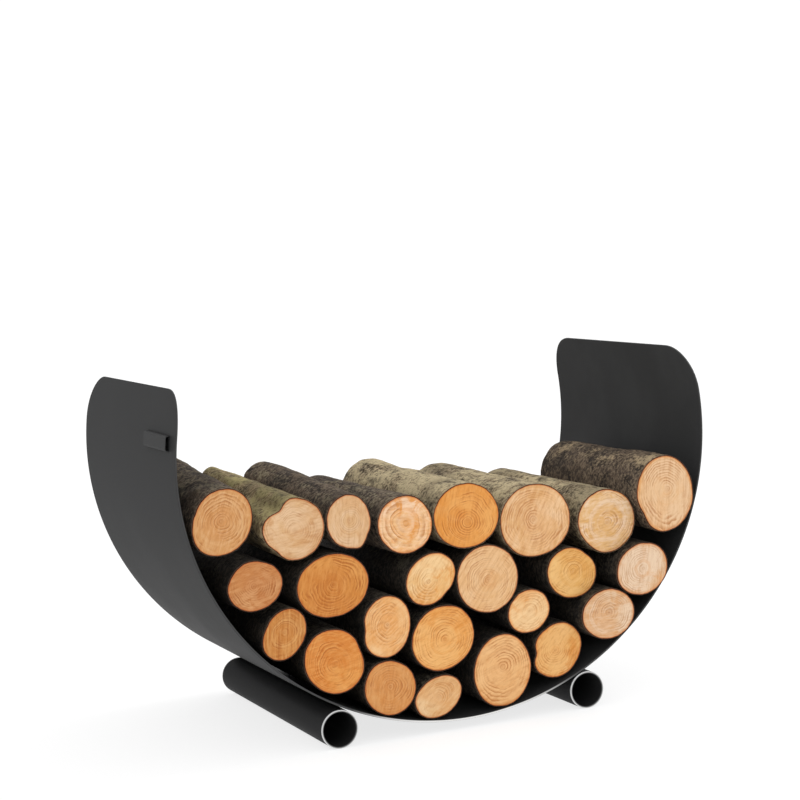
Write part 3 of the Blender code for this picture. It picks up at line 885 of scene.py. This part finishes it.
class LogShape:
    """Outline of one log at any place along it, with its swellings and bark relief."""

    def __init__(self, name, seed):
        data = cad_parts[name].data
        points = np.zeros(len(data.vertices) * 3)
        data.vertices.foreach_get("co", points)
        points = points.reshape(-1, 3)
        self.name = name
        self.seed = seed
        self.top = "top" in name
        self.sides = TOP_SIDES if self.top else LOW_SIDES
        self.steps = TOP_STEPS if self.top else LOW_STEPS
        self.front = points[:, 1].min()
        self.length = points[:, 1].max() - self.front
        near = cad_section(points, self.front + END_CHAMFER, self.sides)
        far = cad_section(points, self.front + self.length - END_CHAMFER, self.sides)
        self.near_middle, self.turns, self.near_radius = near
        self.far_middle, _, self.far_radius = far
        self.cos = np.cos(self.turns)
        self.sin = np.sin(self.turns)
        self.uneven = np.array([self.outline_noise(c, s) for c, s in zip(self.cos, self.sin)])

    def outline_noise(self, cos, sin):
        """Small unevenness of the outline that runs the whole length of the log."""
        broad = noise.noise(Vector((cos * 1.2, sin * 1.2, self.seed)))
        fine = noise.noise(Vector((cos * 3.6, sin * 3.6, self.seed)))
        return OUTLINE_BROAD * broad + OUTLINE_FINE * fine - OUTLINE_INSET

    def middle(self, share):
        return self.near_middle + (self.far_middle - self.near_middle) * share

    def relief(self, x, y, z, free):
        """Bumps of the bark at a place on the log, larger where nothing is near it."""
        seed = self.seed
        broad = noise.noise(Vector((x * 34 + seed, y * 22, z * 34)))
        medium = noise.noise(Vector((x * 95, y * 75 + seed, z * 95)))
        fine = noise.fractal(Vector((x * 230, y * 230, z * 230 + seed)), 0.9, 2.1, 3)
        rise = RELIEF_FINE * fine
        for (everywhere, more), bump in ((RELIEF_BROAD, broad), (RELIEF_MEDIUM, medium)):
            rise += (everywhere + more * free) * bump
        return rise

    def radius(self, share):
        """Radius by direction at a share of the length, with swellings and relief."""
        base = self.near_radius + (self.far_radius - self.near_radius) * share + self.uneven
        made = np.zeros(self.sides)
        for i in range(self.sides):
            reach = base[i]
            for aim, place, wide, long, rise in SWELLINGS.get(self.name, []):
                away = (math.degrees(self.turns[i]) - aim + 180) % 360 - 180
                reach += rise * math.exp(-((away / wide) ** 2) - ((share - place) / long) ** 2)
            free = max(0.0, self.sin[i]) * min(1.0, 8 * share) if self.top else 0.0
            spot = (reach * self.cos[i], share * self.length, reach * self.sin[i])
            made[i] = reach + self.relief(*spot, free)
        return made

    def ring(self, share, radius, depth):
        """World points round the log: radius by direction, depth measured from its front."""
        middle = self.middle(share)
        points = np.zeros((self.sides, 3))
        points[:, 0] = middle[0] + radius * self.cos
        points[:, 1] = self.front + depth
        points[:, 2] = middle[2] + radius * self.sin
        return points

    def sawn_end(self, share, pith_share):
        """Rings of one sawn face from its edge to the pith: points, ring, edge and share values."""
        sign = 1 if share == 0 else -1
        middle = self.middle(share)
        edge = self.radius(share) - BARK_THICK - CAMBIUM_THICK
        pith = np.array(pith_share) * edge.mean()
        rim = np.stack([edge * self.cos, edge * self.sin], 1)
        whole = np.hypot(*(rim - pith).T)
        lean = Vector((math.sin(self.seed * 7.3), math.cos(self.seed * 3.1))) * SAW_LEAN
        rings = []
        for step in range(END_RINGS + 1):
            near = max(1 - step / END_RINGS, PITH_RING)
            flat = pith + (rim - pith) * near
            reach = whole * near
            depth = np.zeros(self.sides)
            for i in range(self.sides):
                saw = noise.noise(Vector((flat[i, 0] * 60, self.seed, flat[i, 1] * 60)))
                tilt = lean.x * flat[i, 0] + lean.y * flat[i, 1]
                inward = SAW_INSET + SAW_WAVES * saw + tilt
                depth[i] = share * self.length + sign * inward
            points = self.ring(share, edge, depth)
            points[:, 0] = middle[0] + flat[:, 0]
            points[:, 2] = middle[2] + flat[:, 1]
            # Growth rings are round at the pith and follow the outline at the edge.
            ring_value = reach * (1 - near**2) + edge.mean() * near**3
            rings.append((points, (ring_value, whole - reach, np.full(self.sides, near))))
        return rings

    def bark_end(self, share):
        """Rings over the cut edge of the bark, from the wood out to its side."""
        sign = 1 if share == 0 else -1
        radius = self.radius(share)
        chips = []
        for cos, sin in zip(self.cos, self.sin):
            chips.append(noise.noise(Vector((cos * 9, sin * 9, self.seed + share))))
        set_back = BARK_SET_BACK + BARK_CHIPS * np.array(chips)
        rings = []
        for inset, back in ((1.0, BARK_ROUND), (0.9, 0.0), (0.5, 0.0), (0.0, BARK_ROUND)):
            depth = share * self.length + sign * (set_back + back)
            rings.append(self.ring(share, radius - BARK_THICK * inset, depth))
        return rings


# Which of a log's three materials a face has.
BARK_FACE, WOOD_FACE, CAMBIUM_FACE = range(3)


def log_rows(shape, pith):
    """Rings of points from the front pith, over the bark, to the rear pith.

    Each row is its points with their ring, edge and share values; kinds says which
    material follows it.
    """
    none = np.zeros(shape.sides)
    rows = list(reversed(shape.sawn_end(0, pith)))
    kinds = [WOOD_FACE] * (END_RINGS + 1)
    kinds[-1] = CAMBIUM_FACE
    rows += [(points, (none, none, none)) for points in shape.bark_end(0)]
    for step in range(shape.steps + 1):
        share = BARK_START + (1 - 2 * BARK_START) * step / shape.steps
        points = shape.ring(share, shape.radius(share), share * shape.length)
        rows.append((points, (none, none, none + 1)))
    rows += [(points, (none, none, none)) for points in reversed(shape.bark_end(1))]
    kinds += [BARK_FACE] * (len(rows) - len(kinds))
    kinds[-1] = CAMBIUM_FACE
    rows += shape.sawn_end(1, pith)
    kinds += [WOOD_FACE] * (END_RINGS + 1)
    return rows, kinds


def build_log(name, seed):
    """One log with its bark, its dark inner bark and two sawn ends."""
    look = LOGS[name]
    shape = LogShape(name, seed)
    rows, kinds = log_rows(shape, (look.pith_x, look.pith_z))
    middle = shape.middle(0.5)
    vertices = np.concatenate([points for points, _ in rows]) - middle
    attributes = {}
    for i, key in enumerate(("ring", "edge", "share")):
        attributes[key] = np.concatenate([values[i] for _, values in rows])
    sides = shape.sides
    faces = []
    face_kinds = []
    for step in range(len(rows) - 1):
        faces += loop_faces(step * sides, (step + 1) * sides, sides)
        face_kinds += [kinds[step]] * sides
    last = (len(rows) - 1) * sides
    faces.append(tuple(reversed(range(sides))))
    faces.append(tuple(range(last, last + sides)))
    face_kinds += [WOOD_FACE, WOOD_FACE]
    materials = [
        bark(name + "_bark", BARKS[look.bark], seed),
        end_grain(name + "_end", look, seed),
        cambium(name + "_cambium", seed),
    ]
    log = make_mesh(name + "_round", vertices, faces, materials, face_kinds, attributes)
    log.location = middle
    sharpen(log, LOG_CREASE)
    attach(log, name)
    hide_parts(name)


# ---------------------------------------------------------------- floor, light, camera

CAMERA_PLACE = Vector((-0.9079, -2.0971, 0.5452)) + Vector((0.0, CENTRE.y, 0.0))
CAMERA_YAW = 23.74
CAMERA_PITCH = -5.30
CAMERA_ROLL = -3.03
CAMERA_LENS = 94.1

FLOOR_HALF = 7.0
FLOOR_CURVE = 3.0
FLOOR_CURVE_STEPS = 16
FLOOR_DROP = 0.0002
FLOOR_GLOW = 0.76
FLOOR_TONES = ((0.275, 0.275, 0.275, 1.0), (0.29, 0.29, 0.29, 1.0))

# Each light: place, the point it faces, width and height, power in watts, and tint.
LIGHTS = {
    "key": ((1.5, 0.2, 2.0), (0.0, 0.0, 0.15), (1.1, 1.1), 14.0, (1.0, 0.995, 0.985)),
    "fill": ((-0.4, -2.6, 1.4), (0.0, 0.0, 0.2), (1.6, 1.6), 5.0, (1.0, 1.0, 1.0)),
}


def build_floor():
    """Pale floor that curves up into a backdrop far behind the rack."""
    shading = Shading("floor_paper", 0.9, specular=0.1)
    cloud = shading.noise(shading.place(), 3.0, 2.0)
    tone = shading.mix(cloud, *FLOOR_TONES)
    shading.shader.inputs["Emission Color"].default_value = (1.0, 1.0, 1.0, 1.0)
    shading.shader.inputs["Emission Strength"].default_value = FLOOR_GLOW
    material = shading.finish(tone)
    rows = [(-FLOOR_HALF, 0.0), (FLOOR_HALF - FLOOR_CURVE, 0.0)]
    for turn in quarter_turns(FLOOR_CURVE_STEPS)[1:]:
        back = FLOOR_HALF - FLOOR_CURVE * (1 - math.sin(turn))
        rows.append((back, FLOOR_CURVE * (1 - math.cos(turn))))
    rows.append((FLOOR_HALF, 2 * FLOOR_CURVE))
    vertices = []
    for y, z in rows:
        vertices += [(-2 * FLOOR_HALF, y, z), (2 * FLOOR_HALF, y, z)]
    faces = []
    for i in range(len(rows) - 1):
        faces.append((2 * i, 2 * i + 1, 2 * i + 3, 2 * i + 2))
    floor = make_mesh("floor", vertices, faces, [material])
    floor.location.z = -FLOOR_DROP


def add_area(name, place, target, size, power, tint):
    light = bpy.data.lights.new(name, "AREA")
    light.shape = "RECTANGLE"
    light.size, light.size_y = size
    light.energy = power
    light.color = tint
    lamp = bpy.data.objects.new(name, light)
    lamp.location = place
    aim = Vector(target) - Vector(place)
    lamp.rotation_euler = aim.to_track_quat("-Z", "Y").to_euler()
    bpy.context.scene.collection.objects.link(lamp)


def build_lights():
    """White surroundings, a soft key from the right and a weak fill from the front."""
    world = bpy.data.worlds.new("studio")
    bpy.context.scene.world = world
    world.use_nodes = True
    sky = world.node_tree.nodes["Background"]
    sky.inputs["Color"].default_value = (1.0, 1.0, 1.0, 1.0)
    sky.inputs["Strength"].default_value = 1.0
    for name, light in LIGHTS.items():
        add_area(name, *light)


def build_camera():
    """The photo's point of view, turned by yaw, pitch and roll in degrees."""
    yaw, pitch, roll = (math.radians(v) for v in (CAMERA_YAW, CAMERA_PITCH, CAMERA_ROLL))
    level = Vector((math.cos(yaw), -math.sin(yaw), 0.0))
    ahead = Vector((math.sin(yaw), math.cos(yaw), 0.0))
    forward = ahead * math.cos(pitch) + Vector((0.0, 0.0, math.sin(pitch)))
    upright = level.cross(forward)
    right = level * math.cos(roll) + upright * math.sin(roll)
    up = upright * math.cos(roll) - level * math.sin(roll)
    lens = bpy.data.cameras.new("camera")
    lens.sensor_width = 36.0
    lens.lens = CAMERA_LENS
    lens.clip_end = 60.0
    camera = bpy.data.objects.new("camera", lens)
    turn = Matrix((right, up, -forward)).transposed().to_4x4()
    camera.matrix_world = Matrix.Translation(CAMERA_PLACE) @ turn
    bpy.context.scene.collection.objects.link(camera)
    bpy.context.scene.camera = camera


def main():
    # Both coats have lighter edges painted on as highlights.
    black = powder_coat("cradle_coat", COAT, COAT_EDGE_HIGHLIGHT, edge_highlight=0.16, low_edge_highlight=0.95)
    # The feet's coat is painted darker as shade.
    shaded_foot_black = powder_coat("foot_coat_shaded", FOOT_COAT_SHADED, FOOT_EDGE_HIGHLIGHT, edge_highlight=0.90)
    build_cradle(black)
    build_foot(-1, "left", shaded_foot_black)
    build_foot(1, "right", shaded_foot_black)
    build_sleeve(black)
    finish_fasteners()
    for number, name in enumerate(LOGS):
        build_log(name, number + 1.0)
    build_floor()
    build_lights()
    build_camera()
    bpy.context.scene.view_settings.view_transform = "Standard"


main()
